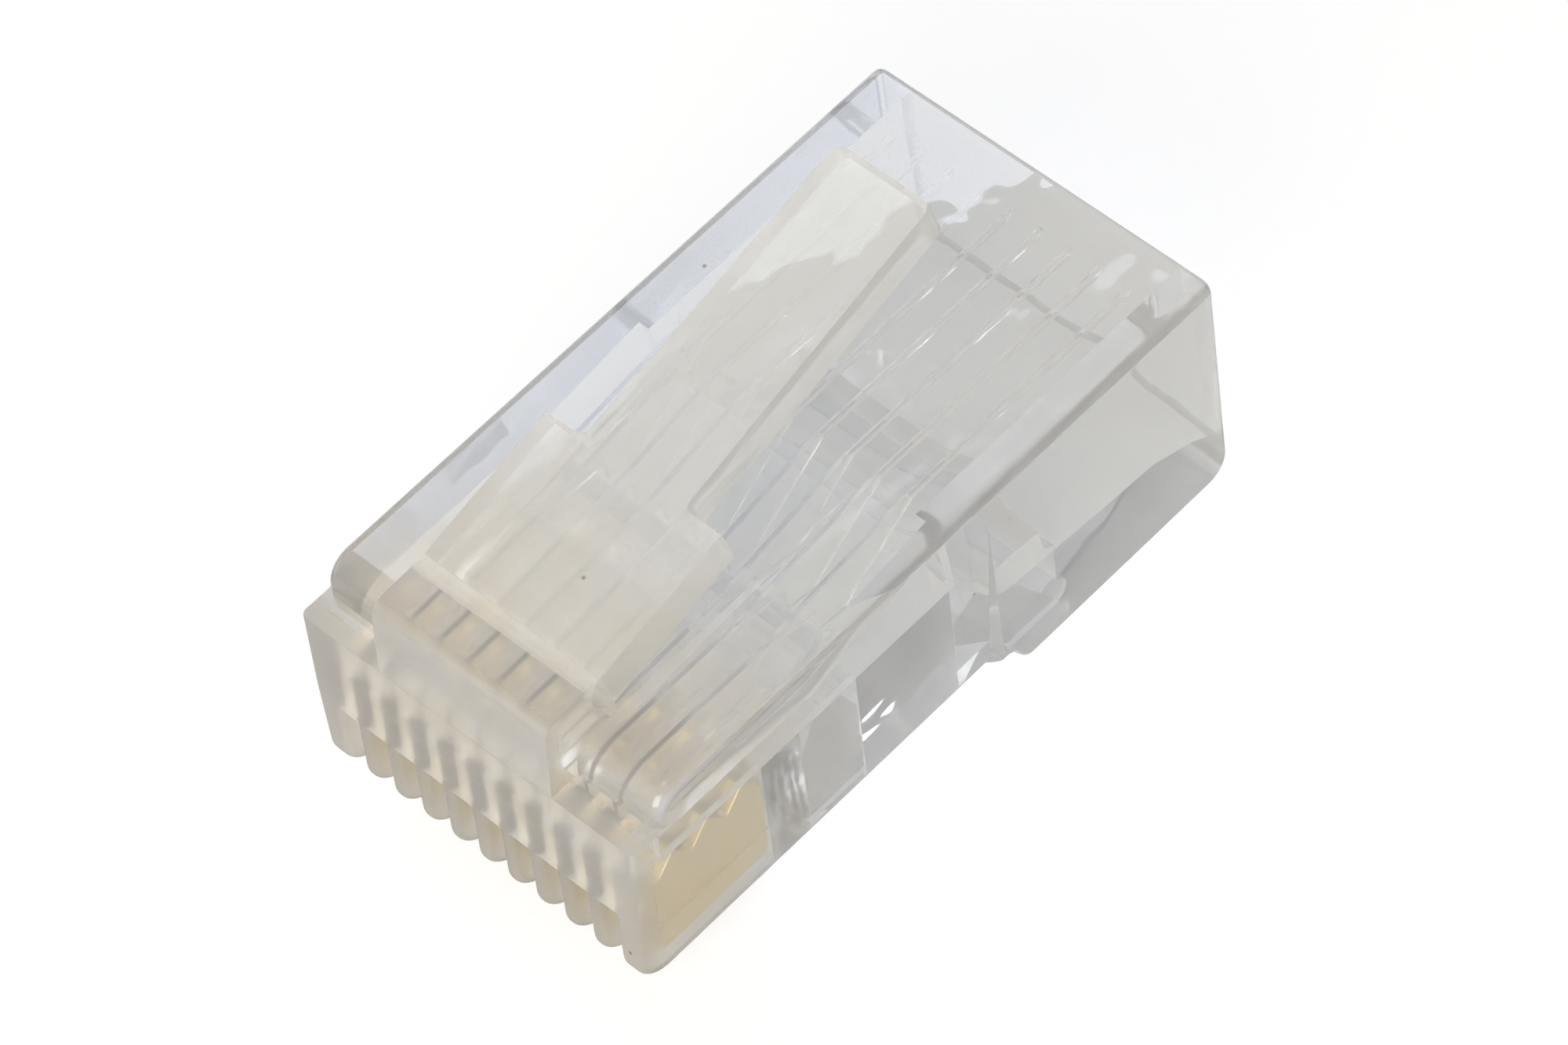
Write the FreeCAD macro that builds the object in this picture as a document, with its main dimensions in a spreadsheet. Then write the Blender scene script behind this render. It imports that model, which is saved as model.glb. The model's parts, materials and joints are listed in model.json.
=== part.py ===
"""Ten-way modular plug: a clear moulded housing, its latch, two strain relief bars and ten contacts.

Lengths are in millimetres. X runs from the nose (low) to the cable entry (high), Y across the plug
and Z from the contact side up to the latch side. Sketches measure X from the nose; every body is then
moved back by half the plug's length, so that the origin is the bottom centre of the whole part.
"""

import FreeCAD, Part
import Sketcher
import os

OUT_DIR = "parts"
EDGE_REACH = 0.02  # how near an edge has to pass a point that picks it

CONTACTS = 10

doc = FreeCAD.newDocument("modular_plug")

# ---------------------------------------------------------------- driving dimensions

SIZES = {
    # outside of the housing
    "plug_length": 22.0,
    "plug_width": 11.68,
    "rail_top": 7.95,
    "comb_bottom": 0.8,
    "comb_side_top": 6.6,
    "comb_side_lean": 0.3,
    "comb_side_end": 13.0,
    "comb_side_run": 0.3,
    "ramp_start": 13.6,
    "ramp_end": 14.1,
    "nose_ledge": 6.8,
    "nose_lean": 0.27,
    "nose_ridge": 4.05,
    "nose_ridge_lean": 0.1,
    "rail_front": 1.2,
    "long_edge_round": 0.4,
    "comb_round": 1.0,
    "comb_edge_round": 0.2,
    "ramp_foot_round": 0.5,
    "ramp_head_round": 0.4,
    "rear_bottom_round": 0.8,
    "rear_edge_round": 0.2,
    "rail_front_round": 0.9,
    # latch well between the rails, and the latch root
    "well_width": 6.2,
    "well_floor": 6.8,
    "well_flat_end": 3.4,
    "well_end": 12.0,
    "root_width": 6.06,
    "root_front_foot": 0.14,
    "root_front": 0.5,
    "root_top": 9.52,
    "root_top_drop": 0.1,
    "root_foot": 0.45,
    "root_round": 0.45,
    # latch, measured along its blade from the hinge line
    "latch_hinge_x": 2.8,
    "latch_hinge_z": 8.91,
    "latch_angle": 14.5,
    "latch_thick": 1.3,
    "latch_shoulder": 4.54,
    "latch_reach": 14.45,
    "latch_neck_width": 3.5,
    "latch_tip_width": 3.2,
    "latch_tip_round": 0.3,
    "latch_neck_round": 0.25,
    "hinge_gap": 0.03,
    # cable cavity and wire channels
    "cavity_width": 9.3,
    "cavity_roof": 7.35,
    "cavity_floor": 2.9,
    "throat_floor": 2.3,
    "throat_depth": 2.36,
    "lip_floor": 1.77,
    "lip_depth": 0.96,
    "mouth_floor": 1.15,
    "cavity_ramp_foot": 13.6,
    "cavity_ramp_head": 12.1,
    "cavity_ramp_round": 1.2,
    "chamber_width": 10.0,
    "chamber_front": 1.4,
    "chamber_floor": 5.1,
    "chamber_roof": 6.15,
    "chamber_roof_bend": 7.0,
    "rib_thick": 0.14,
    "rib_depth": 0.2,
    "rib_rear": 20.75,
    "rib_wall_end": 9.4,
    "rib_tail_start": 12.4,
    # contacts and their slots
    "contact_count": CONTACTS,
    "contact_pitch": 1.016,
    "slot_width": 0.4,
    "groove_width": 0.56,
    "groove_top": 2.3,
    "groove_front_top": 3.7,
    "comb_wall_round": 0.2,
    "slot_front": 0.7,
    "slot_rear": 5.05,
    "blade_thick": 0.35,
    "blade_gap": 0.06,
    "blade_bottom": 1.2,
    "blade_shoulder": 4.3,
    "tooth_top": 4.95,
    "tooth_pitch": 1.25,
    "blade_nose_round": 0.55,
    "blade_tail_round": 0.25,
    # conductor bar and its window
    "wire_window_front": 6.45,
    "wire_window_rear": 8.55,
    "wire_window_width": 9.6,
    "wire_bar_bottom": 1.0,
    "wire_bar_top": 4.85,
    "wire_bar_gap": 0.04,
    "wire_bar_chamfer": 0.5,
    "rib_notch_top": 5.9,
    # jacket bar and its window
    "jacket_window_front": 12.3,
    "jacket_window_rear": 16.0,
    "jacket_window_width": 7.8,
    "jacket_hinge_x": 15.9,
    "jacket_hinge_z": 0.5,
    "jacket_hinge_round": 0.4,
    "jacket_bar_gap": 0.12,
    "wedge_nose_bottom": 1.75,
    "wedge_nose_top": 2.7,
    "wedge_bevel": 1.0,
    "wedge_tooth_run": 0.9,
    "wedge_tooth_top": 3.2,
    "wedge_back_run": 1.1,
    "wedge_back_top": 1.9,
    "wedge_root_run": 0.35,
    "wedge_root_rise": 0.2,
    # how far a cut runs past the outside, and how far two joined features share their material
    "overcut": 1.0,
    "lap": 0.1,
}

sheet = doc.addObject("Spreadsheet::Sheet", "dim")
for row, (alias, value) in enumerate(SIZES.items(), start=1):
    sheet.set(f"A{row}", alias)
    sheet.set(f"B{row}", str(value))
    sheet.setAlias(f"B{row}", alias)
doc.recompute()


def value_of(expression):
    """The number that an expression over the sheet's cells gives."""
    return float(sheet.evalExpression(expression.replace("dim.", "")))


# ---------------------------------------------------------------- helpers


def new_body(label):
    body = doc.addObject("PartDesign::Body", label)
    body.Label = label
    body.setExpression("Placement.Base.x", "-dim.plug_length / 2")
    return body


def plane_of(body, role):
    """One of the body's own origin planes, XY_Plane, XZ_Plane or YZ_Plane."""
    return next(feature for feature in body.Origin.OriginFeatures if feature.Role == role)


def new_sketch(body, name, role):
    sketch = body.newObject("Sketcher::SketchObject", name)
    sketch.AttachmentSupport = [(plane_of(body, role), "")]
    sketch.MapMode = "FlatFace"
    return sketch


def place_point(sketch, geometry, point, name, across, up):
    """Ties one point of the sketch to two expressions, measured from the sketch's origin."""
    for axis, expression in (("X", across), ("Y", up)):
        index = sketch.addConstraint(
            Sketcher.Constraint(f"Distance{axis}", -1, 1, geometry, point, value_of(expression))
        )
        sketch.renameConstraint(index, f"{name}_{axis.lower()}")
        sketch.setExpression(f"Constraints.{name}_{axis.lower()}", expression)


def outline(body, name, role, corners):
    """A closed sketch of straight lines, whose corners are pairs of expressions."""
    sketch = new_sketch(body, name, role)
    points = [FreeCAD.Vector(value_of(across), value_of(up), 0) for across, up in corners]
    count = len(points)
    for index in range(count):
        sketch.addGeometry(Part.LineSegment(points[index], points[(index + 1) % count]))
    for index in range(count):
        sketch.addConstraint(Sketcher.Constraint("Coincident", index, 2, (index + 1) % count, 1))
    for index, (across, up) in enumerate(corners):
        place_point(sketch, index, 1, f"corner_{index}", across, up)
    return sketch


def disc(body, name, role, across, up, radius):
    """A sketch of one circle."""
    sketch = new_sketch(body, name, role)
    centre = FreeCAD.Vector(value_of(across), value_of(up), 0)
    sketch.addGeometry(Part.Circle(centre, FreeCAD.Vector(0, 0, 1), value_of(radius)))
    place_point(sketch, 0, 3, "centre", across, up)
    index = sketch.addConstraint(Sketcher.Constraint("Radius", 0, value_of(radius)))
    sketch.renameConstraint(index, "radius")
    sketch.setExpression("Constraints.radius", radius)
    return sketch


def extrude(body, kind, name, sketch, width):
    """A Pad or Pocket of the sketch, centred on the sketch's plane."""
    feature = body.newObject(f"PartDesign::{kind}", name)
    feature.Profile = sketch
    feature.Midplane = True
    feature.setExpression("Length", width)
    sketch.Visibility = False
    doc.recompute()
    return feature


def pad(body, name, sketch, width):
    return extrude(body, "Pad", name, sketch, width)


def pocket(body, name, sketch, width):
    before = body.Shape.Volume
    feature = extrude(body, "Pocket", name, sketch, width)
    if not body.Shape.Volume < before:
        raise RuntimeError(f"{name} cuts nothing")
    return feature


def shift_sketch(sketch, offset):
    """Moves a sketch along its plane's normal, which is -Y for the XZ plane."""
    sketch.setExpression("AttachmentOffset.Base.z", offset)
    doc.recompute()


def repeat(body, name, feature, length, count):
    """Repeats a feature along +Y, over a length that holds the given count."""
    pattern = body.newObject("PartDesign::LinearPattern", name)
    pattern.Originals = [feature]
    axis = next(line for line in body.Origin.OriginFeatures if line.Role == "Y_Axis")
    pattern.Direction = (axis, [""])
    pattern.setExpression("Length", length)
    pattern.setExpression("Occurrences", count)
    body.Tip = pattern
    doc.recompute()
    return pattern


def edges_through(feature, points):
    """Names of the feature's edges that pass through the given points."""
    edges = feature.Shape.Edges
    names = []
    for point in points:
        vertex = Part.Vertex(FreeCAD.Vector(*point))
        distances = [edge.distToShape(vertex)[0] for edge in edges]
        nearest = min(range(len(edges)), key=distances.__getitem__)
        if distances[nearest] > EDGE_REACH:
            raise RuntimeError(f"no edge of {feature.Name} passes through {point}")
        names.append(f"Edge{nearest + 1}")
    return sorted(set(names), key=names.index)


def round_edges(body, name, radius, points):
    """Rounds the edges of the body that pass through points given as triples of expressions."""
    base = body.Tip
    places = [tuple(value_of(part) for part in point) for point in points]
    edges = edges_through(base, places)
    fillet = body.newObject("PartDesign::Fillet", name)
    fillet.Base = (base, edges)
    fillet.setExpression("Radius", radius)
    doc.recompute()
    if not fillet.isValid():
        raise RuntimeError(f"{name} could not be made")
    return fillet


# ---------------------------------------------------------------- housing


def lean_side(body, name, sign):
    """Leans one side of the comb inwards below the nose ledge, and blends it out before the ramp."""
    outer, inner = f"{sign}dim.plug_width / 2", f"{sign}(dim.plug_width / 2 - dim.comb_side_lean)"
    beyond = f"{sign}(dim.plug_width / 2 + dim.overcut)"
    wedge = outline(
        body,
        f"{name}_lean_outline",
        "YZ_Plane",
        [
            (outer, "dim.comb_side_top"),
            (inner, "dim.comb_bottom"),
            (inner, "dim.comb_bottom - dim.overcut"),
            (beyond, "dim.comb_bottom - dim.overcut"),
            (beyond, "dim.comb_side_top"),
        ],
    )
    pocket(body, f"{name}_lean", wedge, "2 * (dim.comb_side_end + dim.comb_side_run)")
    blend = outline(
        body,
        f"{name}_blend_outline",
        "XY_Plane",
        [
            ("dim.comb_side_end", inner),
            ("dim.comb_side_end + dim.comb_side_run + dim.lap", inner),
            ("dim.comb_side_end + dim.comb_side_run + dim.lap", outer),
            ("dim.comb_side_end + dim.comb_side_run", outer),
        ],
    )
    shift_sketch(blend, "(dim.comb_bottom + dim.nose_ledge) / 2")
    pad(body, f"{name}_blend", blend, "dim.nose_ledge - dim.comb_bottom")


def build_housing():
    """The clear moulding: one block, cored from the rear, combed at the nose and windowed below."""
    body = new_body("housing")
    side = outline(
        body,
        "side_outline",
        "XZ_Plane",
        [
            ("0", "dim.comb_bottom"),
            ("dim.ramp_start", "dim.comb_bottom"),
            ("dim.ramp_end", "0"),
            ("dim.plug_length", "0"),
            ("dim.plug_length", "dim.rail_top"),
            ("dim.rail_front", "dim.rail_top"),
            ("dim.rail_front", "dim.nose_ledge"),
            ("dim.nose_lean", "dim.nose_ledge"),
            ("dim.nose_ridge_lean", "dim.nose_ridge"),
        ],
    )
    pad(body, "block", side, "dim.plug_width")

    half = "dim.plug_width / 2"
    for name, sign in (("left", ""), ("right", "-")):
        lean_side(body, name, sign)
    middle = "dim.plug_length / 2"
    round_edges(body, "rear_bottom", "dim.rear_bottom_round", [("dim.plug_length", "0", "0")])
    round_edges(body, "comb_corner", "dim.comb_round", [("0", "0", "dim.comb_bottom")])
    round_edges(body, "ramp_foot", "dim.ramp_foot_round", [("dim.ramp_start", "0", "dim.comb_bottom")])
    round_edges(body, "ramp_head", "dim.ramp_head_round", [("dim.ramp_end", "0", "0")])
    round_edges(
        body,
        "comb_side_edges",
        "dim.comb_edge_round",
        [
            (middle, f"{sign}({half} - dim.comb_side_lean)", "dim.comb_bottom")
            for sign in ("", "-")
        ],
    )
    round_edges(body, "rail_fronts", "dim.rail_front_round", [("dim.rail_front", "0", "dim.rail_top")])
    round_edges(
        body,
        "long_edges",
        "dim.long_edge_round",
        [(middle, sign + half, "dim.rail_top") for sign in ("", "-")],
    )
    round_edges(
        body,
        "rear_edges",
        "dim.rear_edge_round",
        [("dim.plug_length", sign + half, "dim.rail_top / 2") for sign in ("", "-")],
    )

    well = outline(
        body,
        "well_outline",
        "XZ_Plane",
        [
            ("-dim.overcut", "dim.well_floor"),
            ("dim.well_flat_end", "dim.well_floor"),
            ("dim.well_end", "dim.rail_top"),
            ("dim.well_end", "dim.rail_top + dim.overcut"),
            ("-dim.overcut", "dim.rail_top + dim.overcut"),
        ],
    )
    pocket(body, "latch_well", well, "dim.well_width")

    root = outline(
        body,
        "root_outline",
        "XZ_Plane",
        [
            ("dim.root_front_foot", "dim.chamber_floor"),
            ("dim.latch_hinge_x", "dim.chamber_floor"),
            ("dim.latch_hinge_x + dim.root_foot", "dim.well_floor"),
            ("dim.latch_hinge_x", "dim.well_floor + dim.root_foot"),
            ("dim.latch_hinge_x", "dim.root_top"),
            ("dim.root_front", "dim.root_top - dim.root_top_drop"),
        ],
    )
    pad(body, "latch_root", root, "dim.root_width")
    root_edge = ("dim.root_front", "0", "dim.root_top - dim.root_top_drop")
    round_edges(body, "root_front_edge", "dim.root_round", [root_edge])
    knuckle = disc(
        body,
        "knuckle_seat_circle",
        "XZ_Plane",
        "dim.latch_hinge_x",
        "dim.latch_hinge_z",
        "dim.latch_thick / 2 + dim.hinge_gap",
    )
    pocket(body, "knuckle_seat", knuckle, "dim.plug_width")

    cavity = outline(
        body,
        "cavity_outline",
        "XZ_Plane",
        [
            ("dim.plug_length + dim.overcut", "dim.mouth_floor"),
            ("dim.plug_length", "dim.mouth_floor"),
            ("dim.plug_length - dim.lip_depth", "dim.lip_floor"),
            ("dim.plug_length - dim.throat_depth", "dim.throat_floor"),
            ("dim.cavity_ramp_foot", "dim.cavity_floor"),
            ("dim.cavity_ramp_head", "dim.chamber_floor"),
            ("dim.cavity_ramp_head", "dim.chamber_roof"),
            ("dim.well_end", "dim.cavity_roof"),
            ("dim.plug_length + dim.overcut", "dim.cavity_roof"),
        ],
    )
    pocket(body, "cable_cavity", cavity, "dim.cavity_width")
    floor_bend = ("dim.cavity_ramp_foot", "0", "dim.cavity_floor")
    round_edges(body, "floor_sweep", "dim.cavity_ramp_round", [floor_bend])
    chamber = outline(
        body,
        "chamber_outline",
        "XZ_Plane",
        [
            ("dim.chamber_front", "dim.chamber_floor"),
            ("dim.cavity_ramp_head + dim.lap", "dim.chamber_floor"),
            ("dim.well_end", "dim.cavity_roof"),
            ("dim.chamber_roof_bend", "dim.chamber_roof"),
            ("dim.chamber_front", "dim.chamber_roof"),
        ],
    )
    pocket(body, "wire_chamber", chamber, "dim.chamber_width")

    rib = outline(
        body,
        "rib_outline",
        "XZ_Plane",
        [
            ("dim.chamber_front - dim.lap", "dim.chamber_floor - dim.lap"),
            ("dim.wire_window_front - dim.lap", "dim.chamber_floor - dim.lap"),
            ("dim.wire_window_front - dim.lap", "dim.rib_notch_top"),
            ("dim.wire_window_rear + dim.lap", "dim.rib_notch_top"),
            ("dim.wire_window_rear + dim.lap", "dim.chamber_floor - dim.lap"),
            ("dim.rib_wall_end", "dim.chamber_floor - dim.lap"),
            ("dim.rib_tail_start", "dim.cavity_roof - dim.rib_depth"),
            ("dim.rib_rear - dim.rib_depth", "dim.cavity_roof - dim.rib_depth"),
            ("dim.rib_rear", "dim.cavity_roof"),
            ("dim.rib_rear", "dim.cavity_roof + dim.lap"),
            ("dim.well_end", "dim.cavity_roof + dim.lap"),
            ("dim.chamber_roof_bend", "dim.chamber_roof + dim.lap"),
            ("dim.chamber_front - dim.lap", "dim.chamber_roof + dim.lap"),
        ],
    )
    shift_sketch(rib, "(dim.contact_count / 2 - 1) * dim.contact_pitch")
    first_rib = pad(body, "rib", rib, "dim.rib_thick")
    repeat(
        body, "ribs", first_rib, "(dim.contact_count - 2) * dim.contact_pitch", "dim.contact_count - 1"
    )

    first_place = "(dim.contact_count - 1) / 2 * dim.contact_pitch"
    row_length = "(dim.contact_count - 1) * dim.contact_pitch"
    groove = outline(
        body,
        "groove_outline",
        "XZ_Plane",
        [
            ("-dim.overcut", "dim.comb_bottom - dim.overcut"),
            ("dim.slot_rear", "dim.comb_bottom - dim.overcut"),
            ("dim.slot_rear", "dim.groove_top"),
            ("dim.slot_front", "dim.groove_top"),
            ("dim.slot_front", "dim.groove_front_top"),
            ("-dim.overcut", "dim.groove_front_top"),
        ],
    )
    shift_sketch(groove, first_place)
    first_groove = pocket(body, "groove", groove, "dim.groove_width")
    repeat(body, "grooves", first_groove, row_length, "dim.contact_count")
    slot = outline(
        body,
        "slot_outline",
        "XZ_Plane",
        [
            ("dim.slot_front", "dim.comb_bottom"),
            ("dim.slot_rear", "dim.comb_bottom"),
            ("dim.slot_rear", "dim.chamber_floor + dim.lap"),
            ("dim.slot_front", "dim.chamber_floor + dim.lap"),
        ],
    )
    shift_sketch(slot, first_place)
    first_slot = pocket(body, "slot", slot, "dim.slot_width")
    repeat(body, "slots", first_slot, row_length, "dim.contact_count")
    walls = [
        f"(dim.contact_count / 2 - {index}) * dim.contact_pitch - dim.contact_pitch / 2"
        for index in range(CONTACTS)
    ]
    round_edges(
        body,
        "comb_wall_edges",
        "dim.comb_wall_round",
        [
            ("dim.slot_rear / 2", f"{middle} {sign} dim.groove_width / 2", "dim.comb_bottom")
            for middle in walls
            for sign in ("+", "-")
        ],
    )

    wire_window = outline(
        body,
        "wire_window_outline",
        "XZ_Plane",
        [
            ("dim.wire_window_front", "0"),
            ("dim.wire_window_rear", "0"),
            ("dim.wire_window_rear", "dim.chamber_floor + dim.lap"),
            ("dim.wire_window_front", "dim.chamber_floor + dim.lap"),
        ],
    )
    pocket(body, "wire_window", wire_window, "dim.wire_window_width")
    jacket_window = outline(
        body,
        "jacket_window_outline",
        "XZ_Plane",
        [
            ("dim.jacket_window_front", "-dim.overcut"),
            ("dim.jacket_window_rear", "-dim.overcut"),
            ("dim.jacket_window_rear", "dim.cavity_floor"),
            ("dim.jacket_window_front", "dim.chamber_floor"),
        ],
    )
    pocket(body, "jacket_window", jacket_window, "dim.jacket_window_width")
    hinge_seat = disc(
        body,
        "hinge_seat_circle",
        "XZ_Plane",
        "dim.jacket_hinge_x",
        "dim.jacket_hinge_z",
        "dim.jacket_hinge_round + dim.hinge_gap",
    )
    pocket(body, "hinge_seat", hinge_seat, "dim.jacket_window_width")
    return body


# ---------------------------------------------------------------- latch


def build_latch():
    """The latch blade, drawn lying flat from its hinge line and then tilted to its free angle."""
    body = new_body("latch")
    root, shoulder = "dim.root_width / 2", "dim.latch_shoulder"
    neck, tip, reach = "dim.latch_neck_width / 2", "dim.latch_tip_width / 2", "dim.latch_reach"
    plan = outline(
        body,
        "blade_outline",
        "XY_Plane",
        [
            ("0", "-" + root),
            (shoulder, "-" + root),
            (shoulder, "-" + neck),
            (reach, "-" + tip),
            (reach, tip),
            (shoulder, neck),
            (shoulder, root),
            ("0", root),
        ],
    )
    pad(body, "blade", plan, "dim.latch_thick")
    knuckle = disc(body, "knuckle_circle", "XZ_Plane", "0", "0", "dim.latch_thick / 2")
    pad(body, "knuckle", knuckle, "dim.root_width")
    round_edges(
        body,
        "tip_corners",
        "dim.latch_tip_round",
        [(reach, sign + tip, "0") for sign in ("", "-")],
    )
    round_edges(
        body,
        "neck_corners",
        "dim.latch_neck_round",
        [(shoulder, sign + neck, "0") for sign in ("", "-")],
    )
    body.Placement.Rotation = FreeCAD.Rotation(FreeCAD.Vector(0, -1, 0), value_of("dim.latch_angle"))
    body.setExpression("Placement.Base.x", "dim.latch_hinge_x - dim.plug_length / 2")
    body.setExpression("Placement.Base.z", "dim.latch_hinge_z")
    doc.recompute()
    return body


# ---------------------------------------------------------------- strain relief bars


def build_conductor_bar():
    """The bar behind the contacts that is pressed up against the separate wires."""
    body = new_body("conductor_bar")
    front = "dim.wire_window_front + dim.wire_bar_gap"
    rear = "dim.wire_window_rear - dim.wire_bar_gap"
    shoulder = "dim.wire_bar_top - 2 * dim.wire_bar_chamfer"
    side = outline(
        body,
        "bar_outline",
        "XZ_Plane",
        [
            (front, "dim.wire_bar_bottom"),
            (rear, "dim.wire_bar_bottom"),
            (rear, shoulder),
            (rear + " - dim.wire_bar_chamfer", "dim.wire_bar_top"),
            (front + " + dim.wire_bar_chamfer", "dim.wire_bar_top"),
            (front, shoulder),
        ],
    )
    pad(body, "bar", side, "dim.wire_window_width - 2 * dim.wire_bar_gap")
    return body


def build_jacket_bar():
    """The wedge that swings up about its rear edge to bite into the cable's jacket."""
    body = new_body("jacket_bar")
    front = "dim.jacket_window_front + dim.jacket_bar_gap"
    side = outline(
        body,
        "wedge_outline",
        "XZ_Plane",
        [
            (front, "dim.wedge_nose_bottom"),
            (front + " + dim.wedge_bevel", "dim.comb_bottom"),
            ("dim.ramp_end", "dim.jacket_hinge_z - dim.jacket_hinge_round"),
            ("dim.jacket_hinge_x", "dim.jacket_hinge_z - dim.jacket_hinge_round"),
            ("dim.jacket_hinge_x", "dim.jacket_hinge_z"),
            ("dim.jacket_hinge_x - dim.wedge_root_run", "dim.jacket_hinge_z + dim.wedge_root_rise"),
            ("dim.jacket_hinge_x - dim.wedge_back_run", "dim.wedge_back_top"),
            (front + " + dim.wedge_tooth_run", "dim.wedge_tooth_top"),
            (front, "dim.wedge_nose_top"),
        ],
    )
    width = "dim.jacket_window_width - 2 * dim.jacket_bar_gap"
    pad(body, "wedge", side, width)
    hinge = disc(
        body,
        "hinge_circle",
        "XZ_Plane",
        "dim.jacket_hinge_x",
        "dim.jacket_hinge_z",
        "dim.jacket_hinge_round",
    )
    pad(body, "hinge_roll", hinge, width)
    return body


# ---------------------------------------------------------------- contacts


def build_contact(index):
    """One gold-plated blade: a flat strip with a smooth foot below and piercing teeth above."""
    body = new_body(f"contact_{index:02d}")
    body.setExpression(
        "Placement.Base.y", f"((dim.contact_count + 1) / 2 - {index}) * dim.contact_pitch"
    )
    front = "dim.slot_front + dim.blade_gap"
    rear = "dim.slot_rear - dim.blade_gap"
    half_tooth = "dim.tooth_pitch / 2"
    teeth = []
    for tooth in range(3):
        start = f"{rear} - dim.tooth_pitch * {tooth}"
        teeth.append((f"{start} - {half_tooth}", "dim.tooth_top"))
        teeth.append((f"{start} - dim.tooth_pitch", "dim.blade_shoulder"))
    blade = outline(
        body,
        "blade_outline",
        "XZ_Plane",
        [
            (front, "dim.blade_bottom"),
            (rear, "dim.blade_bottom"),
            (rear, "dim.blade_shoulder"),
            *teeth,
            (front, "dim.blade_shoulder"),
        ],
    )
    pad(body, "blade", blade, "dim.blade_thick")
    round_edges(body, "foot_front", "dim.blade_nose_round", [(front, "0", "dim.blade_bottom")])
    round_edges(body, "foot_rear", "dim.blade_tail_round", [(rear, "0", "dim.blade_bottom")])
    return body


# ---------------------------------------------------------------- build, check and write

parts = [build_housing(), build_latch(), build_conductor_bar(), build_jacket_bar()]
parts += [build_contact(index) for index in range(1, CONTACTS + 1)]
doc.recompute()

for thing in doc.Objects:
    if "Invalid" in thing.State or "Error" in thing.State:
        raise RuntimeError(f"{thing.Label} failed: {thing.State}")
os.makedirs(OUT_DIR, exist_ok=True)
for body in parts:
    shape = body.Shape
    if shape.isNull() or not shape.isValid() or len(shape.Solids) != 1:
        raise RuntimeError(f"{body.Label} is not one valid solid")
    box = shape.BoundBox
    print(
        f"{body.Label}: volume {shape.Volume:.2f} mm3, "
        f"x {box.XMin:.2f}..{box.XMax:.2f} y {box.YMin:.2f}..{box.YMax:.2f} z {box.ZMin:.2f}..{box.ZMax:.2f}"
    )
    shape.exportStep(os.path.join(OUT_DIR, f"{body.Label}.step"))
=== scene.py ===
"""A clear ten-way modular plug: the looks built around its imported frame.

Every length is in millimetres until it reaches Blender, which works in metres.
"""

from __future__ import annotations

import json
import logging
import math
from dataclasses import dataclass, field
from enum import Enum
from typing import Any

import bmesh
import bpy
from mathutils import Euler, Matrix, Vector

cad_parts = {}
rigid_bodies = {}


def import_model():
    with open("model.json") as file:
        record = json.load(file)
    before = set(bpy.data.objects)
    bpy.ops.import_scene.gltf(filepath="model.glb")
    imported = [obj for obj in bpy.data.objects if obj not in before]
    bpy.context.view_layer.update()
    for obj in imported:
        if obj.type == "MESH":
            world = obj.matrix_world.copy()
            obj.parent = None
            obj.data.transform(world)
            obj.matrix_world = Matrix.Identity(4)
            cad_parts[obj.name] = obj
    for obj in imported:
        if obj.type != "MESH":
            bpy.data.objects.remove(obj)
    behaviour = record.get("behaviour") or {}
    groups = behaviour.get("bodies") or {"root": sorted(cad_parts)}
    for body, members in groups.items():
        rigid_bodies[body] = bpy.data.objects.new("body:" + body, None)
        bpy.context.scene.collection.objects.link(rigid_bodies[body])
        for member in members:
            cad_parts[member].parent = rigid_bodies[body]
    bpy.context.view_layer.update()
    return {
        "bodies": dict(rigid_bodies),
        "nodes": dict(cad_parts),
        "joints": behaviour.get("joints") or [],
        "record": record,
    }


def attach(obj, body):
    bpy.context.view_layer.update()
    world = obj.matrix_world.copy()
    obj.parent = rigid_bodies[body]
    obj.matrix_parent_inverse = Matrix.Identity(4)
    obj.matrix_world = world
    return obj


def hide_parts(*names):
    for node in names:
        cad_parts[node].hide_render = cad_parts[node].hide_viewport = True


log = logging.getLogger("modular_plug")

MM = 0.001  # metres in a millimetre
Frame = dict[str, Any]


class Facing(Enum):
    """Which way a lamp shines."""

    PLUG = "plug"
    DOWN = "down"


# ---------------------------------------------------------------- node and colour helpers


def linear(hex_colour: str) -> tuple[float, float, float, float]:
    """The linear colour of an sRGB hex value.

    Args:
        hex_colour: six hex digits, such as "d9a441".

    Returns:
        Red, green and blue in linear light, and an alpha of one.
    """

    def channel(start: int) -> float:
        """One channel, from its two hex digits."""
        value = int(hex_colour[start : start + 2], 16) / 255
        return value / 12.92 if value <= 0.04045 else ((value + 0.055) / 1.055) ** 2.4

    return (channel(0), channel(2), channel(4), 1.0)


def add_node(
    tree: bpy.types.NodeTree, kind: str, links: dict[str | int, Any] | None = None, **settings: Any
) -> Any:
    """Adds one node with its settings and its input values or links.

    Args:
        tree: the node tree that gets the node.
        kind: the node's type identifier.
        links: input name or index to a plain value or to another node's output socket.
        settings: attributes of the node itself.

    Returns:
        The new node.
    """
    node = tree.nodes.new(kind)
    for name, value in settings.items():
        setattr(node, name, value)
    for name, value in (links or {}).items():
        if isinstance(value, bpy.types.NodeSocket):
            tree.links.new(value, node.inputs[name])
        else:
            node.inputs[name].default_value = value
    return node


def new_material(name: str) -> tuple[bpy.types.Material, bpy.types.NodeTree]:
    """A material with an empty node tree.

    Args:
        name: the material's name.

    Returns:
        The material and its tree.
    """
    material = bpy.data.materials.new(name)
    material.use_nodes = True
    material.node_tree.nodes.clear()
    return material, material.node_tree


# ---------------------------------------------------------------- finishes


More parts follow.
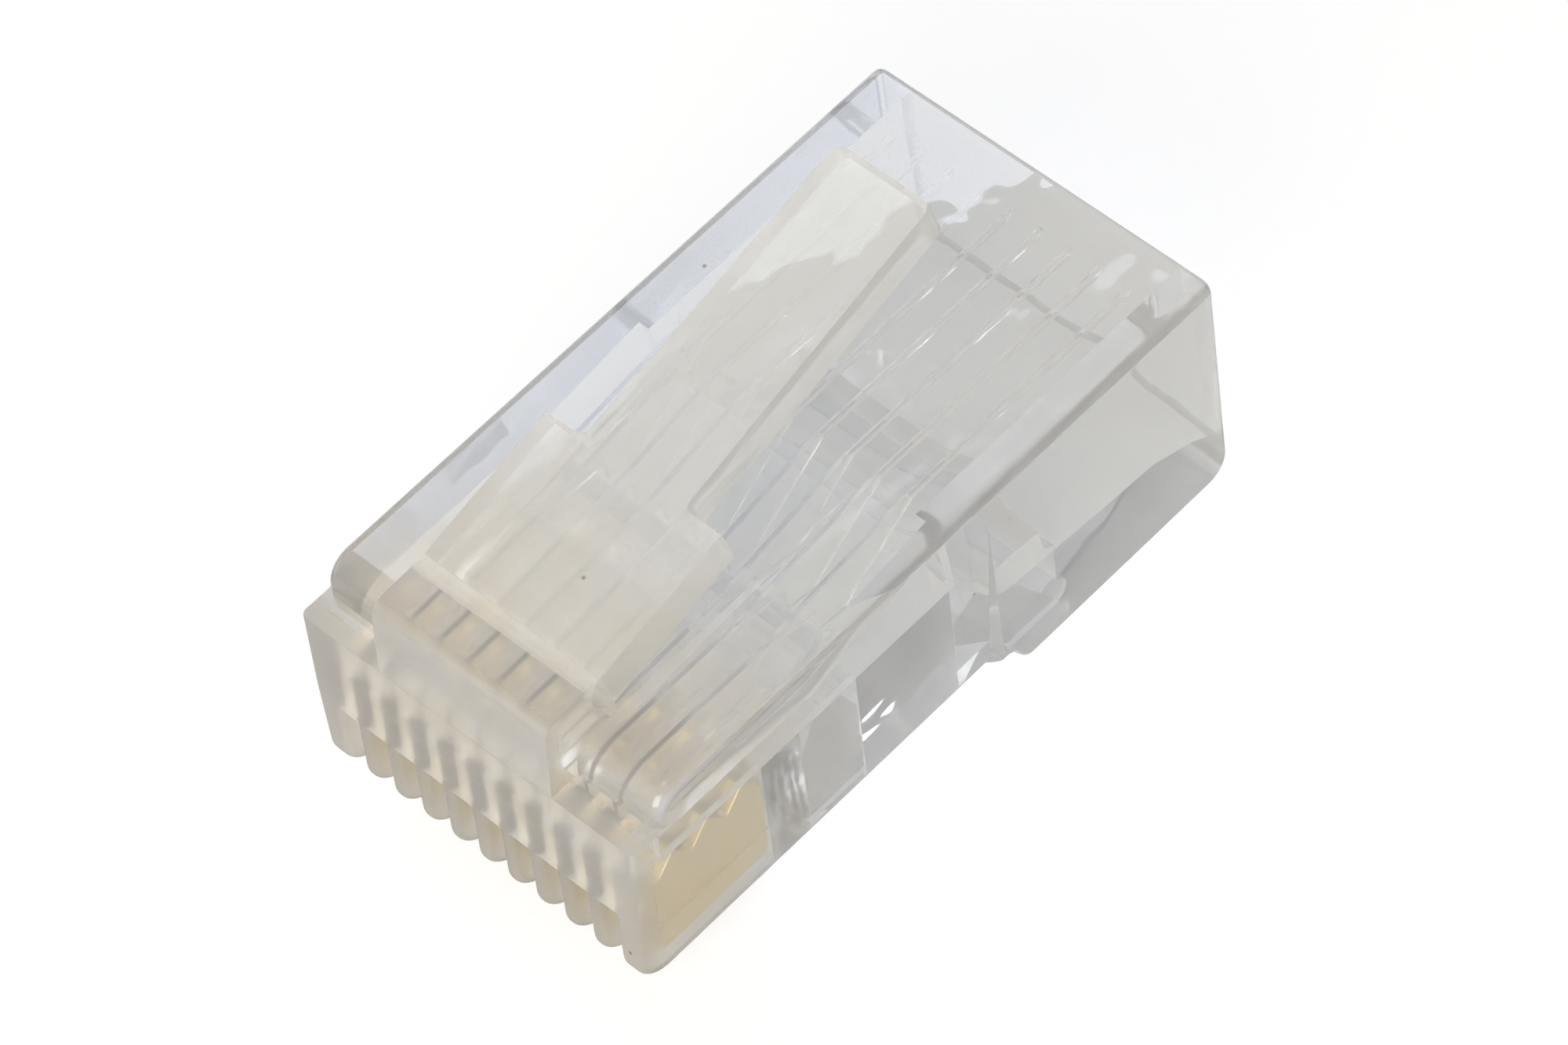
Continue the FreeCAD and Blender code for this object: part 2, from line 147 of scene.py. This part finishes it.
@dataclass(frozen=True)
class ClearPolycarbonate:
    """Injection-moulded polycarbonate, clear but slightly milky, with flow waviness, haze and specks.

    To the eye it is a pale, glossy block that shows its inside softly. Towards the nose a warm glow is
    painted into its colour, in patches, and stands in for the light that bounces off the gold contacts.
    There the thick walls of the comb also blur what lies behind them, and the comb's front is as good as
    frosted.
    """

    name: str = "clear_polycarbonate"
    tint: str = "fefdf9"
    # painted glow: the warm colour that stands in for light bounced off the gold contacts
    gold_glow_tint: str = "fcf5e8"
    ior: float = 1.585
    clearness: float = 0.78
    lamp_light_through: str = "e6e9f0"
    gloss: float = 0.012
    nose_haze: float = 0.13
    haze_patches: float = 0.02
    frost: float = 0.26
    frost_from_mm: float = -9.9
    frost_full_mm: float = -10.5
    warm_from_mm: float = -2.0
    warm_full_mm: float = -9.5
    warm_least: float = 0.3
    patch_mm: float = 1.7
    patch_edges: tuple[float, float] = (0.35, 0.65)
    wave_mm: float = 1.6
    wave_height_mm: float = 0.014
    speck_cell_mm: float = 1.6
    speck_mm: float = 0.06
    speck_share: float = 0.15
    speck_colour: str = "8a7558"

    def build(self) -> bpy.types.Material:
        """Makes the material.

        Returns:
            The finished material.
        """
        material, tree = new_material(self.name)
        place = add_node(tree, "ShaderNodeTexCoord").outputs["Object"]
        split = add_node(tree, "ShaderNodeSeparateXYZ", {0: place})
        nose = add_node(
            tree,
            "ShaderNodeMapRange",
            {
                "Value": split.outputs["X"],
                "From Min": self.warm_from_mm * MM,
                "From Max": self.warm_full_mm * MM,
            },
            interpolation_type="SMOOTHSTEP",
        ).outputs[0]
        patches = add_node(
            tree,
            "ShaderNodeTexNoise",
            {"Vector": place, "Scale": 1 / (self.patch_mm * MM), "Detail": 3.0},
        ).outputs["Fac"]
        mottle = add_node(
            tree,
            "ShaderNodeMapRange",
            {"Value": patches, "From Min": self.patch_edges[0], "From Max": self.patch_edges[1]},
        ).outputs[0]
        # painted glow: towards the nose, and in patches, the colour leans warm to stand in for the light
        # that the gold contacts bounce into the body
        gold_glow_share = add_node(
            tree,
            "ShaderNodeMath",
            {0: mottle, 1: 1 - self.warm_least, 2: self.warm_least},
            operation="MULTIPLY_ADD",
        ).outputs[0]
        gold_glow_share = add_node(tree, "ShaderNodeMath", {0: gold_glow_share, 1: nose}, operation="MULTIPLY").outputs[0]
        # the resin's own colour, mixed with the painted gold glow
        resin_and_gold_glow = add_node(
            tree,
            "ShaderNodeMix",
            {0: gold_glow_share, 6: linear(self.tint), 7: linear(self.gold_glow_tint)},
            data_type="RGBA",
        )
        body = add_node(
            tree,
            "ShaderNodeMix",
            {0: self._specks(tree, place), 6: resin_and_gold_glow.outputs[2], 7: linear(self.speck_colour)},
            data_type="RGBA",
        )
        shader = add_node(
            tree,
            "ShaderNodeBsdfPrincipled",
            {
                "Base Color": body.outputs[2],
                "IOR": self.ior,
                "Transmission Weight": self.clearness,
            },
        )
        front = add_node(
            tree,
            "ShaderNodeMapRange",
            {
                "Value": split.outputs["X"],
                "From Min": self.frost_from_mm * MM,
                "From Max": self.frost_full_mm * MM,
                "To Max": self.frost,
            },
            interpolation_type="SMOOTHSTEP",
        ).outputs[0]
        self._haze(tree, shader, nose, front, mottle)
        self._waves(tree, shader, place)
        path = add_node(tree, "ShaderNodeLightPath")
        let_in = add_node(tree, "ShaderNodeBsdfTransparent", {"Color": linear(self.lamp_light_through)})
        lit = add_node(
            tree,
            "ShaderNodeMixShader",
            {0: path.outputs["Is Shadow Ray"], 1: shader.outputs[0], 2: let_in.outputs[0]},
        )
        add_node(tree, "ShaderNodeOutputMaterial", {"Surface": lit.outputs[0]})
        return material

    def _specks(self, tree: bpy.types.NodeTree, place: Any) -> bpy.types.NodeSocket:
        """A mask of the few dark grains of burnt resin that every such moulding has.

        Args:
            tree: the material's node tree.
            place: the point on the surface.

        Returns:
            The socket that holds 1 on a grain and 0 elsewhere.
        """
        cells = add_node(
            tree, "ShaderNodeTexVoronoi", {"Vector": place, "Scale": 1 / (self.speck_cell_mm * MM)}
        )
        near = add_node(
            tree,
            "ShaderNodeMath",
            {0: cells.outputs["Distance"], 1: self.speck_mm / self.speck_cell_mm},
            operation="LESS_THAN",
        )
        chance = add_node(tree, "ShaderNodeSeparateXYZ", {0: cells.outputs["Color"]})
        some = add_node(
            tree, "ShaderNodeMath", {0: chance.outputs["X"], 1: self.speck_share}, operation="LESS_THAN"
        )
        return add_node(
            tree, "ShaderNodeMath", {0: near.outputs[0], 1: some.outputs[0]}, operation="MULTIPLY"
        ).outputs[0]

    def _haze(self, tree: bpy.types.NodeTree, shader: Any, nose: Any, front: Any, mottle: Any) -> None:
        """Roughens the nose, most on its front, and the rest in patches where it has been handled.

        Args:
            tree: the material's node tree.
            shader: the surface's shader.
            nose: how near the nose a point is, from 0 to 1.
            front: the roughness that the nose's front adds.
            mottle: where the handled patches are, from 0 to 1.
        """
        base = add_node(tree, "ShaderNodeMath", {0: front, 1: self.gloss}, operation="ADD")
        blur = add_node(
            tree,
            "ShaderNodeMath",
            {0: nose, 1: self.nose_haze, 2: base.outputs[0]},
            operation="MULTIPLY_ADD",
        )
        rough = add_node(
            tree,
            "ShaderNodeMath",
            {0: mottle, 1: self.haze_patches, 2: blur.outputs[0]},
            operation="MULTIPLY_ADD",
        )
        tree.links.new(rough.outputs[0], shader.inputs["Roughness"])

    def _waves(self, tree: bpy.types.NodeTree, shader: Any, place: Any) -> None:
        """Bends the surface in the shallow waves that the melt leaves.

        Args:
            tree: the material's node tree.
            shader: the surface's shader.
            place: the point on the surface.
        """
        flow = add_node(
            tree,
            "ShaderNodeTexNoise",
            {"Vector": place, "Scale": 1 / (self.wave_mm * MM), "Detail": 1.0},
        )
        bump = add_node(
            tree,
            "ShaderNodeBump",
            {"Height": flow.outputs["Fac"], "Distance": self.wave_height_mm * MM, "Strength": 1.0},
        )
        tree.links.new(bump.outputs["Normal"], shader.inputs["Normal"])


@dataclass(frozen=True)
class GoldPlating:
    """Gold flashed over nickel on stamped phosphor bronze.

    To the eye it is a pale, warm metal, with streaks along the blade from the stamping. Real ones
    are finer, and these are drawn coarse enough to show.
    """

    name: str = "gold_plating"
    colour: str = "fdebb0"
    roughness: float = 0.28
    stamp_mm: float = 0.12
    stamp_height_mm: float = 0.012
    streak: float = 0.15

    def build(self) -> bpy.types.Material:
        """Makes the material.

        Returns:
            The finished material.
        """
        material, tree = new_material(self.name)
        place = add_node(tree, "ShaderNodeTexCoord")
        stretch = add_node(
            tree, "ShaderNodeMapping", {"Vector": place.outputs["Object"], "Scale": (self.streak, 1.0, 1.0)}
        )
        grain = add_node(
            tree,
            "ShaderNodeTexNoise",
            {"Vector": stretch.outputs[0], "Scale": 1 / (self.stamp_mm * MM), "Detail": 3.0},
        )
        bump = add_node(
            tree,
            "ShaderNodeBump",
            {"Height": grain.outputs["Fac"], "Distance": self.stamp_height_mm * MM, "Strength": 1.0},
        )
        shader = add_node(
            tree,
            "ShaderNodeBsdfPrincipled",
            {
                "Base Color": linear(self.colour),
                "Metallic": 1.0,
                "Roughness": self.roughness,
                "Normal": bump.outputs["Normal"],
            },
        )
        add_node(tree, "ShaderNodeOutputMaterial", {"Surface": shader.outputs[0]})
        return material


@dataclass(frozen=True)
class StudioWhite:
    """A matt white floor that reads as pure white to the eye and still takes the plug's soft shadow.

    It glows a little: in full where the eye meets it, and dimly where it is seen through the plug.
    """

    name: str = "studio_white"
    colour: str = "d0d0d0"
    seen_glow: float = 0.58
    through_glow: float = 0.17

    def build(self) -> bpy.types.Material:
        """Makes the material.

        Returns:
            The finished material.
        """
        material, tree = new_material(self.name)
        path = add_node(tree, "ShaderNodeLightPath")
        through = add_node(
            tree,
            "ShaderNodeMath",
            {0: path.outputs["Is Transmission Ray"], 1: path.outputs["Is Glossy Ray"]},
            operation="MAXIMUM",
        )
        inside = add_node(
            tree, "ShaderNodeMath", {0: through.outputs[0], 1: self.through_glow}, operation="MULTIPLY"
        )
        strength = add_node(
            tree,
            "ShaderNodeMath",
            {0: path.outputs["Is Camera Ray"], 1: self.seen_glow, 2: inside.outputs[0]},
            operation="MULTIPLY_ADD",
        )
        matt = add_node(tree, "ShaderNodeBsdfDiffuse", {"Color": linear(self.colour)})
        glow = add_node(tree, "ShaderNodeEmission", {"Strength": strength.outputs[0]})
        both = add_node(tree, "ShaderNodeAddShader", {0: matt.outputs[0], 1: glow.outputs[0]})
        add_node(tree, "ShaderNodeOutputMaterial", {"Surface": both.outputs[0]})
        return material


# ---------------------------------------------------------------- mesh helpers


def smooth_copy(
    node: bpy.types.Object,
    name: str,
    sharp_deg: float = 28.0,
    weld_mm: float = 0.0005,
    sliver_mm: float = 0.0001,
) -> bpy.types.Object:
    """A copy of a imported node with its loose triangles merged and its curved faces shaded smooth.

    Args:
        node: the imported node's object.
        name: the new piece's name.
        sharp_deg: edges that bend more than this stay sharp.
        weld_mm: corners nearer than this are one.
        sliver_mm: edges shorter than this are taken out.

    Returns:
        The new object, at the origin.
    """
    mesh = node.data.copy()
    mesh.materials.clear()
    shape = bmesh.new()
    shape.from_mesh(mesh)
    bmesh.ops.remove_doubles(shape, verts=shape.verts, dist=weld_mm * MM)
    bmesh.ops.dissolve_degenerate(shape, edges=shape.edges, dist=sliver_mm * MM)
    limit = math.radians(sharp_deg)
    for edge in shape.edges:
        edge.smooth = edge.is_manifold and edge.calc_face_angle(0.0) < limit
    for face in shape.faces:
        face.smooth = True
    shape.to_mesh(mesh)
    shape.free()
    if "custom_normal" in mesh.attributes:
        mesh.attributes.remove(mesh.attributes["custom_normal"])
    piece = bpy.data.objects.new(name, mesh)
    bpy.context.scene.collection.objects.link(piece)
    return piece


def swell_roll(
    piece: bpy.types.Object, centre_mm: tuple[float, float], radius_mm: float, grow_mm: float
) -> None:
    """Swells a hinge roll a hair, so that its clear wall meets the seat with no film of air between.

    Args:
        piece: the moulding that has the roll, which lies along Y.
        centre_mm: X and Z of the roll's centre line.
        radius_mm: the roll's radius.
        grow_mm: how far its wall moves out.
    """
    on_wall_mm = 0.002
    centre_x, centre_z = (value * MM for value in centre_mm)
    for vertex in piece.data.vertices:
        across, up = vertex.co.x - centre_x, vertex.co.z - centre_z
        reach = math.hypot(across, up)
        if abs(reach - radius_mm * MM) < on_wall_mm * MM:
            vertex.co.x += across / reach * grow_mm * MM
            vertex.co.z += up / reach * grow_mm * MM


# ---------------------------------------------------------------- the plug


@dataclass
class Mouldings:
    """The clear moulded pieces: housing, latch and the two strain relief bars.

    The rolls are the centre line (X and Z) and the radius of each piece's hinge roll.
    """

    frame: Frame
    finish: ClearPolycarbonate = field(default_factory=ClearPolycarbonate)
    seat_overlap_mm: float = 0.045
    rolls: dict[str, tuple[tuple[float, float], float]] = field(
        default_factory=lambda: {"latch": ((-8.2, 8.91), 0.65), "jacket_bar": ((4.9, 0.5), 0.4)}
    )

    def build(self) -> list[bpy.types.Object]:
        """Makes each clear piece and stands it in for its node.

        Returns:
            The pieces.
        """
        material = self.finish.build()
        pieces = []
        for node in ("housing", "latch", "conductor_bar", "jacket_bar"):
            piece = smooth_copy(self.frame["nodes"][node], f"{node}_moulding")
            if node in self.rolls:
                swell_roll(piece, *self.rolls[node], self.seat_overlap_mm)
            piece.data.materials.append(material)
            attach(piece, node)
            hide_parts(node)
            pieces.append(piece)
        return pieces


@dataclass(frozen=True)
class StampedBlade:
    """A stamped contact: a strip with a rounded foot and a row of piercing teeth above it.

    The profile is drawn flat, X along the plug and Y up, then it gets its thickness and stands up.
    A tooth keeps a hair of air beside the next, so that each is closed, and laps into the strip.
    """

    nose_round_mm: float = 0.55
    tail_round_mm: float = 0.25
    tooth_pitch_mm: float = 1.25
    tooth_rise_mm: float = 0.65
    tooth_narrowing: float = 1.03
    teeth: int = 3
    lap_mm: float = 0.05
    round_steps: int = 9
    weld_mm: float = 0.001
    edge_mm: float = 0.025
    edge_steps: int = 2

    def tree(self, material: bpy.types.Material) -> bpy.types.NodeTree:
        """Makes the tree, with named inputs for its sizes.

        Args:
            material: what the blade is made of.

        Returns:
            The node tree.
        """
        tree = bpy.data.node_groups.new("stamped_blade", "GeometryNodeTree")
        for name in ("Length", "Foot Height", "Thickness", "Nose Round", "Tail Round", "Pitch", "Rise"):
            tree.interface.new_socket(name=name, in_out="INPUT", socket_type="NodeSocketFloat")
        tree.interface.new_socket(name="Teeth", in_out="INPUT", socket_type="NodeSocketInt")
        tree.interface.new_socket(name="Place", in_out="INPUT", socket_type="NodeSocketVector")
        tree.interface.new_socket(name="Blade", in_out="OUTPUT", socket_type="NodeSocketGeometry")
        given = add_node(tree, "NodeGroupInput").outputs
        flat = add_node(tree, "GeometryNodeJoinGeometry")
        for part in (self._foot(tree, given), self._comb(tree, given)):
            tree.links.new(part, flat.inputs[0])
        raised = add_node(
            tree,
            "GeometryNodeExtrudeMesh",
            {
                "Mesh": flat.outputs[0],
                "Offset": (0.0, 0.0, 1.0),
                "Offset Scale": given["Thickness"],
                "Individual": False,
            },
        )
        back = add_node(tree, "GeometryNodeFlipFaces", {"Mesh": flat.outputs[0]})
        shell = add_node(tree, "GeometryNodeJoinGeometry")
        tree.links.new(raised.outputs["Mesh"], shell.inputs[0])
        tree.links.new(back.outputs[0], shell.inputs[0])
        closed = add_node(
            tree,
            "GeometryNodeMergeByDistance",
            {"Geometry": shell.outputs[0], "Distance": self.weld_mm * MM},
        )
        stood = add_node(
            tree,
            "GeometryNodeTransform",
            {
                "Geometry": closed.outputs[0],
                "Translation": given["Place"],
                "Rotation": (math.radians(90), 0.0, 0.0),
            },
        )
        real = add_node(tree, "GeometryNodeRealizeInstances", {"Geometry": stood.outputs[0]})
        dressed = add_node(
            tree, "GeometryNodeSetMaterial", {"Geometry": real.outputs[0], "Material": material}
        )
        add_node(tree, "NodeGroupOutput", {"Blade": dressed.outputs[0]})
        return tree

    def _foot(self, tree: bpy.types.NodeTree, given: Any) -> bpy.types.NodeSocket:
        """The strip below the teeth, a flat face with its two lower corners rounded.

        Args:
            tree: the blade's node tree.
            given: the tree's named inputs.

        Returns:
            The face.
        """
        strip = add_node(
            tree,
            "GeometryNodeCurvePrimitiveQuadrilateral",
            {"Width": given["Length"], "Height": given["Foot Height"]},
        )
        corner = add_node(
            tree, "ShaderNodeSeparateXYZ", {0: add_node(tree, "GeometryNodeInputPosition").outputs[0]}
        )
        tail = add_node(tree, "ShaderNodeMath", {0: corner.outputs["X"], 1: 0.0}, operation="GREATER_THAN")
        radius = add_node(
            tree,
            "ShaderNodeMapRange",
            {"Value": tail.outputs[0], "To Min": given["Nose Round"], "To Max": given["Tail Round"]},
        )
        low = add_node(tree, "ShaderNodeMath", {0: corner.outputs["Y"], 1: 0.0}, operation="LESS_THAN")
        low_radius = add_node(
            tree, "ShaderNodeMath", {0: radius.outputs[0], 1: low.outputs[0]}, operation="MULTIPLY"
        )
        rounded = add_node(
            tree,
            "GeometryNodeFilletCurve",
            {
                "Curve": strip.outputs[0],
                "Count": self.round_steps,
                "Radius": low_radius.outputs[0],
                "Limit Radius": True,
            },
            mode="POLY",
        )
        face = add_node(tree, "GeometryNodeFillCurve", {"Curve": rounded.outputs[0]}, mode="NGONS")
        return add_node(
            tree,
            "GeometryNodeMergeByDistance",
            {"Geometry": face.outputs[0], "Distance": self.weld_mm * MM},
        ).outputs[0]

    def _comb(self, tree: bpy.types.NodeTree, given: Any) -> bpy.types.NodeSocket:
        """The teeth, one flat triangle set out along the strip's top from its tail.

        Args:
            tree: the blade's node tree.
            given: the tree's named inputs.

        Returns:
            The row of faces.
        """
        # a circle of three points is a triangle, 1.5 radii tall and the root of 3 radii wide
        triangle = add_node(tree, "GeometryNodeCurvePrimitiveCircle", {"Resolution": 3, "Radius": 1.0})
        tall = add_node(tree, "ShaderNodeMath", {0: given["Rise"], 1: 1.5}, operation="DIVIDE")
        wide = add_node(
            tree,
            "ShaderNodeMath",
            {0: given["Pitch"], 1: self.tooth_narrowing * math.sqrt(3)},
            operation="DIVIDE",
        )
        scale = add_node(
            tree, "ShaderNodeCombineXYZ", {"X": tall.outputs[0], "Y": wide.outputs[0], "Z": 1.0}
        )
        upright = add_node(
            tree,
            "GeometryNodeTransform",
            {
                "Geometry": triangle.outputs[0],
                "Rotation": (0.0, 0.0, math.radians(90)),
                "Scale": scale.outputs[0],
            },
        )
        tooth = add_node(tree, "GeometryNodeFillCurve", {"Curve": upright.outputs[0]}, mode="NGONS")
        reach = add_node(
            tree, "ShaderNodeMath", {0: given["Length"], 1: given["Pitch"]}, operation="SUBTRACT"
        )
        first = add_node(tree, "ShaderNodeMath", {0: reach.outputs[0], 1: 0.5}, operation="MULTIPLY")
        # the strip's top is half its height up, and a triangle's centre is a third of its rise up
        shoulder = add_node(
            tree,
            "ShaderNodeMath",
            {0: given["Foot Height"], 1: 0.5, 2: -self.lap_mm * MM},
            operation="MULTIPLY_ADD",
        )
        middle = add_node(
            tree,
            "ShaderNodeMath",
            {0: given["Rise"], 1: 1 / 3, 2: shoulder.outputs[0]},
            operation="MULTIPLY_ADD",
        )
        start = add_node(tree, "ShaderNodeCombineXYZ", {"X": first.outputs[0], "Y": middle.outputs[0]})
        forward = add_node(tree, "ShaderNodeMath", {0: given["Pitch"], 1: -1.0}, operation="MULTIPLY")
        step = add_node(tree, "ShaderNodeCombineXYZ", {"X": forward.outputs[0]})
        line = add_node(
            tree,
            "GeometryNodeMeshLine",
            {"Count": given["Teeth"], "Start Location": start.outputs[0], "Offset": step.outputs[0]},
        )
        row = add_node(
            tree, "GeometryNodeInstanceOnPoints", {"Points": line.outputs[0], "Instance": tooth.outputs[0]}
        )
        return add_node(tree, "GeometryNodeRealizeInstances", {"Geometry": row.outputs[0]}).outputs[0]

    def grow(self, tree: bpy.types.NodeTree, node: bpy.types.Object, name: str) -> bpy.types.Object:
        """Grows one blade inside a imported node's box.

        Args:
            tree: the tree this class made.
            node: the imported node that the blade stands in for.
            name: the new piece's name.

        Returns:
            The blade, a plain mesh at the origin.
        """
        low = Vector([min(vertex.co[axis] for vertex in node.data.vertices) for axis in range(3)])
        high = Vector([max(vertex.co[axis] for vertex in node.data.vertices) for axis in range(3)])
        size = high - low
        foot = size.z - self.tooth_rise_mm * MM
        inputs = {
            "Length": size.x,
            "Foot Height": foot,
            "Thickness": size.y,
            "Nose Round": self.nose_round_mm * MM,
            "Tail Round": self.tail_round_mm * MM,
            "Pitch": self.tooth_pitch_mm * MM,
            "Rise": (self.tooth_rise_mm + self.lap_mm) * MM,
            "Teeth": self.teeth,
            "Place": ((low.x + high.x) / 2, high.y, low.z + foot / 2),
        }
        host = bpy.data.objects.new(f"{name}_host", bpy.data.meshes.new(f"{name}_host"))
        bpy.context.scene.collection.objects.link(host)
        modifier = host.modifiers.new("grow", "NODES")
        modifier.node_group = tree
        for socket in tree.interface.items_tree:
            if socket.in_out == "INPUT":
                modifier[socket.identifier] = inputs[socket.name]
        edge = host.modifiers.new("edge", "BEVEL")
        edge.width = self.edge_mm * MM
        edge.segments = self.edge_steps
        edge.limit_method = "ANGLE"
        grown = host.evaluated_get(bpy.context.evaluated_depsgraph_get())
        mesh = bpy.data.meshes.new_from_object(grown)
        bpy.data.objects.remove(host)
        while mesh.materials[0] is None:
            mesh.materials.pop(index=0)
        blade = bpy.data.objects.new(name, mesh)
        bpy.context.scene.collection.objects.link(blade)
        return blade


@dataclass
class ContactRow:
    """The ten gold-plated blades."""

    frame: Frame
    finish: GoldPlating = field(default_factory=GoldPlating)
    blade: StampedBlade = field(default_factory=StampedBlade)

    def build(self) -> list[bpy.types.Object]:
        """Grows each blade and stands it in for its node.

        Returns:
            The blades.
        """
        tree = self.blade.tree(self.finish.build())
        pieces = []
        for name, node in self.frame["nodes"].items():
            if name.startswith("contact_"):
                piece = self.blade.grow(tree, node, f"{name}_blade")
                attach(piece, name)
                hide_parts(name)
                pieces.append(piece)
        return pieces


# ---------------------------------------------------------------- studio


@dataclass(frozen=True)
class ViewPoint:
    """A long lens looking down on the nose from the front right."""

    azimuth_deg: float = -129.37
    elevation_deg: float = 53.62
    roll_deg: float = -9.41
    distance_mm: float = 211.56
    aim_mm: tuple[float, float, float] = (0.407, -0.178, 4.0)
    lens_mm: float = 189.15
    sensor_mm: float = 36.0
    nearest_mm: float = 10.0
    farthest_mm: float = 10000.0

    def build(self) -> bpy.types.Object:
        """Makes the camera and sets it as the scene's.

        Returns:
            The camera object.
        """
        data = bpy.data.cameras.new("camera")
        data.lens = self.lens_mm
        data.sensor_width = self.sensor_mm
        data.clip_start = self.nearest_mm * MM
        data.clip_end = self.farthest_mm * MM
        camera = bpy.data.objects.new("camera", data)
        bpy.context.scene.collection.objects.link(camera)
        azimuth, elevation = math.radians(self.azimuth_deg), math.radians(self.elevation_deg)
        aim = Vector(self.aim_mm) * MM
        back = Vector(
            (
                math.cos(elevation) * math.cos(azimuth),
                math.cos(elevation) * math.sin(azimuth),
                math.sin(elevation),
            )
        )
        camera.location = aim + back * self.distance_mm * MM
        turn = (-back).to_track_quat("-Z", "Y") @ Euler((0, 0, math.radians(self.roll_deg))).to_quaternion()
        camera.rotation_euler = turn.to_euler()
        bpy.context.scene.camera = camera
        return camera


@dataclass(frozen=True)
class SoftBox:
    """A soft lamp that faces the plug, or straight down as a window in a ceiling would."""

    name: str
    place_mm: tuple[float, float, float]
    size_mm: tuple[float, float]
    watts: float
    colour: str = "fffdf9"
    facing: Facing = Facing.PLUG

    def build(self) -> None:
        """Makes the lamp."""
        lamp = bpy.data.lights.new(self.name, "AREA")
        lamp.shape = "RECTANGLE"
        lamp.size, lamp.size_y = (side * MM for side in self.size_mm)
        lamp.energy = self.watts
        lamp.color = linear(self.colour)[:3]
        box = bpy.data.objects.new(self.name, lamp)
        box.location = Vector(self.place_mm) * MM
        if self.facing is Facing.PLUG:
            box.rotation_euler = box.location.to_track_quat("Z", "Y").to_euler()
        bpy.context.scene.collection.objects.link(box)


@dataclass
class Studio:
    """A white floor, a small soft key above, a broad fill in front, a bluish window behind and a sky.

    The floor lies a hair below the plug, so that its clear underside keeps a film of air.
    """

    floor_mm: float = 900.0
    floor_gap_mm: float = 0.02
    sky_colour: str = "fdf9f2"
    sky_strength: float = 0.31
    light_bounces: int = 24
    lamps: tuple[SoftBox, ...] = (
        SoftBox("key", (-30.0, 60.0, 440.0), (60.0, 60.0), 0.13),
        SoftBox("front fill", (-370.0, -140.0, 185.0), (300.0, 300.0), 1.5),
        SoftBox("window", (190.0, 320.0, 400.0), (200.0, 160.0), 0.42, "e4edff", Facing.DOWN),
    )
    view: ViewPoint = field(default_factory=ViewPoint)

    def build(self) -> None:
        """Makes the floor, the lights and the camera."""
        scene = bpy.context.scene
        scene.view_settings.view_transform = "Standard"
        scene.cycles.max_bounces = self.light_bounces
        scene.cycles.transmission_bounces = self.light_bounces
        half, low = self.floor_mm * MM / 2, -self.floor_gap_mm * MM
        mesh = bpy.data.meshes.new("floor")
        corners = [(-half, -half, low), (half, -half, low), (half, half, low), (-half, half, low)]
        mesh.from_pydata(corners, [], [(0, 1, 2, 3)])
        floor = bpy.data.objects.new("floor", mesh)
        scene.collection.objects.link(floor)
        mesh.materials.append(StudioWhite().build())

        world = bpy.data.worlds.new("sky")
        scene.world = world
        world.use_nodes = True
        tree = world.node_tree
        tree.nodes.clear()
        sky = add_node(
            tree, "ShaderNodeBackground", {"Color": linear(self.sky_colour), "Strength": self.sky_strength}
        )
        add_node(tree, "ShaderNodeOutputWorld", {"Surface": sky.outputs[0]})

        for lamp in self.lamps:
            lamp.build()
        self.view.build()


# ---------------------------------------------------------------- build


def main() -> None:
    """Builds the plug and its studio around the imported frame."""
    logging.basicConfig(level=logging.INFO)
    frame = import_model()
    for piece in Mouldings(frame).build() + ContactRow(frame).build():
        log.info("%s: %d faces", piece.name, len(piece.data.polygons))
    Studio().build()


if __name__ == "__main__":
    main()
